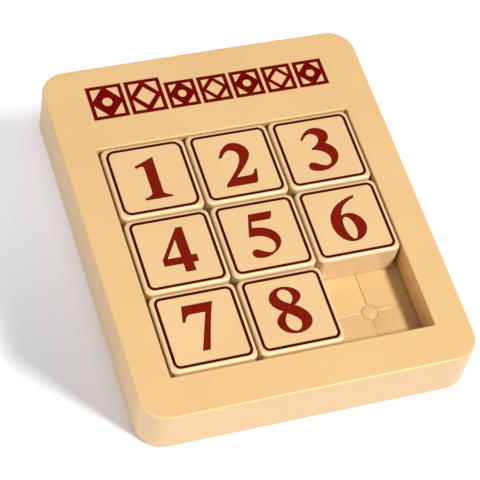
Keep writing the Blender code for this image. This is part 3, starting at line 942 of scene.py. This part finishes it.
def well_plate():
    """The well's floor, with rounded guide lines that stop at a circle in each cell."""
    low, high = millimetres("well_floor")
    middle = Vector(((low.x + high.x) / 2, (low.y + high.y) / 2))
    points, edges = guide_lines((high.x - low.x) / 2)
    corners, _, faces, *_ = delaunay_2d_cdt(points, edges, [], 0, CLOSE)
    builder = Builder()
    made = []
    for point in corners:
        at = point + middle
        depth = groove_depth(point)
        # the mark follows the groove's depth, for its painted shade
        made.append(builder.vertex(at.x, at.y, high.z - LINE_DEPTH * depth, EDGE_MARK * depth))
    for face in faces:
        builder.face([made[index] for index in face])
    square = [point + middle for point in points[:4]]
    edge_top, edge_foot = builder.loop(square, high.z), builder.loop(square, low.z)
    builder.bridge(edge_foot, edge_top)
    builder.face(edge_foot[::-1])
    place(builder.finish("well_plate"), "floor", "tray", ["well_floor"], "tray_floor_plastic")


def cover_shell():
    """The back cover: a rounded plate with sunk screw holes, and a wall with ribs that hold the sheet."""
    low, high = millimetres("back_cover")
    builder = Builder()

    def outline(inset):
        width, length = high.x - low.x - 2 * inset, high.y - low.y - 2 * inset
        return rounded_rectangle(width, length, COVER_CORNER - inset)

    foot = outline(COVER_FOOT_ROUND + SUPPORT)
    rows = [builder.loop(outline(0), COVER_THICKNESS)]
    for inset, drop, _ in round_over(COVER_FOOT_ROUND):
        rows.append(builder.loop(outline(inset), low.z + drop))
    rows.append(builder.loop(foot, low.z))
    builder.bridge_rows(rows)

    mouths, bores = [], []
    for _, x, y in screw_places():
        mouths.append(circle(SINK_RADIUS + SINK_ROUND, x, y))
        bores.append(circle(BORE_RADIUS, x, y))
        rows = [builder.loop(bores[-1], COVER_THICKNESS), builder.loop(bores[-1], SINK_DEPTH)]
        rows.append(builder.loop(circle(SINK_RADIUS, x, y), SINK_DEPTH))
        for inset, drop, _ in round_over(SINK_ROUND):
            rows.append(builder.loop(circle(SINK_RADIUS + inset, x, y), low.z + drop))
        builder.bridge_rows(rows)
    builder.sheet([foot, *mouths], low.z)

    middle, rib_length = well_middle(), COVER_WALL_INSIDE - 2 * JOIN_GAP
    wall = [rectangle(0, middle, size, size) for size in (COVER_WALL_OUTSIDE, COVER_WALL_INSIDE)]
    ribs = [rectangle(x, middle, COVER_RIB_WIDTH, rib_length) for x in CELLS]
    builder.sheet([outline(0), *bores, *wall, *ribs], COVER_THICKNESS)
    builder.step(wall, COVER_THICKNESS, high.z)
    for rib in ribs:
        builder.step([rib], COVER_THICKNESS, high.z - COVER_RIB_DROP)
    place(builder.finish("cover_shell"), "cover", "tray", ["back_cover"], "back_cover_plastic")


def cross(reach, width, x, y):
    """Outline of the cross recess in a screw head."""
    quarter = [(reach, -width), (reach, width), (width, width)]
    points = []
    for turn in range(4):
        turned = Matrix.Rotation(turn * math.pi / 2, 2)
        points += [Vector((x, y)) + turned @ Vector(corner) for corner in quarter]
    return points


def screws():
    """Cover screws: a low round head with a tapered cross recess, and a threaded shank."""
    for number, x, y in screw_places():
        low, high = millimetres(f"cover_screw_{number}")
        foot, tip = low.z, high.z
        head_radius = (high.x - low.x) / 2
        crown, rim = head_radius * CROWN_SHARE, foot + HEAD_RIM
        builder = Builder()
        recess = cross(CROSS_REACH, CROSS_WIDTH / 2, x, y)
        floor = cross(CROSS_REACH - CROSS_END_TAPER, CROSS_WIDTH / 2 - CROSS_TAPER, x, y)
        builder.sheet([circle(crown, x, y), recess], foot)
        builder.bridge(builder.loop(floor, foot + CROSS_DEPTH), builder.loop(recess, foot))
        builder.sheet([floor], foot + CROSS_DEPTH)
        rows = []
        for step in range(ROUND_STEPS + 1):
            turn = step / ROUND_STEPS * math.pi / 2
            radius = crown + (head_radius - crown) * math.sin(turn)
            rows.append(builder.loop(circle(radius, x, y), rim - (rim - foot) * math.cos(turn)))
        height = foot + HEAD_HEIGHT
        rows.append(builder.loop(circle(head_radius, x, y), height))
        while height < tip - THREAD_PITCH:
            rows.append(builder.loop(circle(SHANK_RADIUS - THREAD_DEPTH, x, y), height))
            rows.append(builder.loop(circle(SHANK_RADIUS, x, y), height + THREAD_PITCH / 2))
            height += THREAD_PITCH
        rows.append(builder.loop(circle(SHANK_RADIUS - THREAD_DEPTH, x, y), height))
        rows.append(builder.loop(circle(SHANK_RADIUS * TIP_SHARE, x, y), tip))
        builder.bridge_rows(rows)
        builder.face(rows[-1])
        item = builder.finish(f"screw_{number}")
        place(item, "screw", "tray", [f"cover_screw_{number}"], "screw_steel")


# the tiles


def tile_shell(name, x, y, foot, top, size, ring, digit):
    """A tile's moulded body, open below for its base, with a ring groove and an engraved digit."""
    builder = Builder()

    def square(side, corner):
        return moved([rounded_rectangle(side, side, corner)], x, y)[0]

    def outline(inset, z, mark):
        return builder.loop(square(size - 2 * inset, TILE_CORNER - inset), z, mark)

    cavity = square(TILE_CAVITY, CAVITY_CORNER)
    builder.step([cavity], foot, top - TILE_SKIN)
    rows = [builder.loop(cavity, foot)]
    # the tile's side is marked for its painted light
    for inset, drop, _ in list(round_over(TILE_FOOT_ROUND))[::-1]:
        rows.append(outline(inset, foot + drop, SIDE_MARK))
    rows.append(outline(0, foot + TILE_FOOT_ROUND + SUPPORT, SIDE_MARK))
    rows.append(outline(0, top - TILE_TOP_ROUND - SUPPORT, SIDE_MARK))
    # the top's round edge is marked for a painted highlight, strongest halfway round
    for inset, drop, share in round_over(TILE_TOP_ROUND, TILE_TOP_STEPS):
        rows.append(outline(inset, top - drop, math.sqrt(max(0.0, math.sin(math.pi * share)))))
    builder.bridge_rows(rows)

    rim = square(size - 2 * TILE_TOP_ROUND, TILE_CORNER - TILE_TOP_ROUND)
    builder.sheet([rim, ring[0]], top)
    builder.sheet([ring[1], *digit], top)
    builder.step(ring, top, top - ENGRAVING_DEPTH)
    builder.step(digit, top, top - ENGRAVING_DEPTH)
    return builder.finish(name)


def ring_loops(corner):
    """Outer and inner outline of a tile's ring."""
    outer, inner = RING_SIZE + RING_LINE, RING_SIZE - RING_LINE
    return [
        rounded_rectangle(outer, outer, corner + RING_LINE / 2, RING_CORNER_STEPS),
        rounded_rectangle(inner, inner, corner - RING_LINE / 2, RING_CORNER_STEPS),
    ]


def tiles():
    for number, outlines in enumerate(DIGITS, 1):
        body = f"tile_{number}"
        low, high = millimetres(body + "_body")
        x, y = (low.x + high.x) / 2, (low.y + high.y) / 2
        ring = moved(ring_loops(FIRST_RING_CORNER if number == 1 else RING_CORNER), x, y)
        digit = moved([flatten(loop) for loop in outlines()], x, y)
        size = high.x - low.x - 2 * TILE_INSET
        shell = tile_shell(body + "_shell", x, y, low.z, high.z, size, ring, digit)
        place(shell, "tile", body, [body + "_body"], "tile_plastic")
        border = painted(body + "_border", ring, high.z - PAINT_SINK)
        place(border, "ring", body, [body + "_ring"], "ring_paint")
        numeral = painted(body + "_numeral", digit, high.z - PAINT_SINK)
        place(numeral, "digit", body, [body + "_digit"], "red_paint")
        dress(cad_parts[body + "_base"], "base")
        dress(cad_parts[body + "_magnet"], "magnet")


def kept_nodes():
    """A better material on the steel sheet, a CAD node that stays as it is."""
    dress(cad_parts["steel_sheet"], "sheet")


# the studio

# the camera's place in metres, and the directions it looks in and holds up
LENS_MM = 148.66
SENSOR_MM = 36
CAMERA_PLACE = (-0.13644, -0.24487, 0.40256)
CAMERA_FORWARD = (0.27547, 0.50121, -0.82031)
CAMERA_UP = (0.17232, 0.81376, 0.55507)

FLOOR_REACH = 2.0  # metres
FLOOR_DROP = 0.02
FLOOR_WHITE = (0.92, 0.915, 0.935, 1)
FLOOR_ROUGHNESS = 0.8
FLOOR_SHINE = 0.2

WORLD_COLOR = (0.97, 0.98, 1.0, 1)
WORLD_STRENGTH = 0.38
WHITE = (1.0, 1.0, 1.0)
PINKISH = (1.0, 0.90, 0.90)
COOL = (0.88, 0.94, 1.0)
# place and aim (m), turn (degrees), size (m), spread (degrees), power (W), colour, and what it lights
LIGHTS = {
    "key_light": ((0.47, -0.58, 1.0), (0, 0, 0), 0, (0.16, 0.16), 180, 18.2, WHITE, "object"),
    "left_fill": ((-0.25, -0.12, 0.05), (0, 0, 0), 0, (0.15, 0.15), 180, 0.33, WHITE, "object"),
    "long_shadow_light": ((2.0, -2.24, 1.11), (0, 0, 0), 0, (0.60, 0.30), 180, 181.0, WHITE, "floor"),
    "left_light": ((-0.075, 0.04, 0.08), (-0.075, 0.04, 0), 0, (0.05, 0.05), 180, 0.027, COOL, "floor"),
    "back_light": ((0.010, 0.092, 0.05), (0.010, 0.092, 0), -11, (0.30, 0.10), 25, 0.05, WHITE, "floor"),
    "overhead_light": ((0.0, 0.0, 2.0), (0, 0, 0), 0, (1.0, 1.0), 180, 6.0, PINKISH, "floor"),
}


def add_camera():
    scene = bpy.context.scene
    camera = bpy.data.objects.new("camera", bpy.data.cameras.new("camera"))
    camera.data.lens = LENS_MM
    camera.data.sensor_width = SENSOR_MM
    forward, up = Vector(CAMERA_FORWARD).normalized(), Vector(CAMERA_UP)
    right = forward.cross(up).normalized()
    up = right.cross(forward)
    camera.matrix_world = Matrix(
        (
            (right.x, up.x, -forward.x, CAMERA_PLACE[0]),
            (right.y, up.y, -forward.y, CAMERA_PLACE[1]),
            (right.z, up.z, -forward.z, CAMERA_PLACE[2]),
            (0, 0, 0, 1),
        )
    )
    scene.collection.objects.link(camera)
    scene.camera = camera


def studio_floor():
    """A wide white floor just under the tray's foot."""
    floor = bpy.data.objects.new("studio_floor", bpy.data.meshes.new("studio_floor"))
    shape = bmesh.new()
    bmesh.ops.create_grid(shape, x_segments=1, y_segments=1, size=FLOOR_REACH)
    shape.to_mesh(floor.data)
    shape.free()
    bpy.context.scene.collection.objects.link(floor)
    floor.location.z = -FLOOR_DROP * MM
    material, _, shader = new_material("studio_white")
    shader.inputs["Base Color"].default_value = FLOOR_WHITE
    shader.inputs["Roughness"].default_value = FLOOR_ROUGHNESS
    shader.inputs["Specular IOR Level"].default_value = FLOOR_SHINE
    floor.data.materials.append(material)
    return floor


def studio():
    scene = bpy.context.scene
    add_camera()
    floor = studio_floor()
    world = bpy.data.worlds.new("studio_world")
    scene.world = world
    world.use_nodes = True
    background = world.node_tree.nodes["Background"]
    background.inputs["Color"].default_value = WORLD_COLOR
    background.inputs["Strength"].default_value = WORLD_STRENGTH
    for name, settings in LIGHTS.items():
        add_light(name, *settings, floor)
    scene.view_settings.view_transform = "Standard"
    scene.view_settings.look = "None"
    scene.view_settings.exposure = 0
    scene.view_settings.gamma = 1


def add_light(name, spot, aim, turn, size, spread, power, color, lights_up, floor):
    data = bpy.data.lights.new(name, "AREA")
    data.shape = "RECTANGLE"
    data.size, data.size_y = size
    data.spread = math.radians(spread)
    data.energy = power
    data.color = color
    light = bpy.data.objects.new(name, data)
    facing = (Vector(spot) - Vector(aim)).to_track_quat("Z", "Y").to_matrix()
    light.rotation_euler = (facing @ Matrix.Rotation(math.radians(turn), 3, "Z")).to_euler()
    light.location = spot
    light.visible_camera = False
    bpy.context.scene.collection.objects.link(light)
    receivers = bpy.data.collections.new(name + "_receivers")
    receivers.objects.link(floor)
    if lights_up == "object":
        receivers.collection_objects[0].light_linking.link_state = "EXCLUDE"
    light.light_linking.receiver_collection = receivers


tray_shell()
title_ornaments()
well_plate()
cover_shell()
screws()
tiles()
kept_nodes()
studio()

bpy.context.view_layer.update()
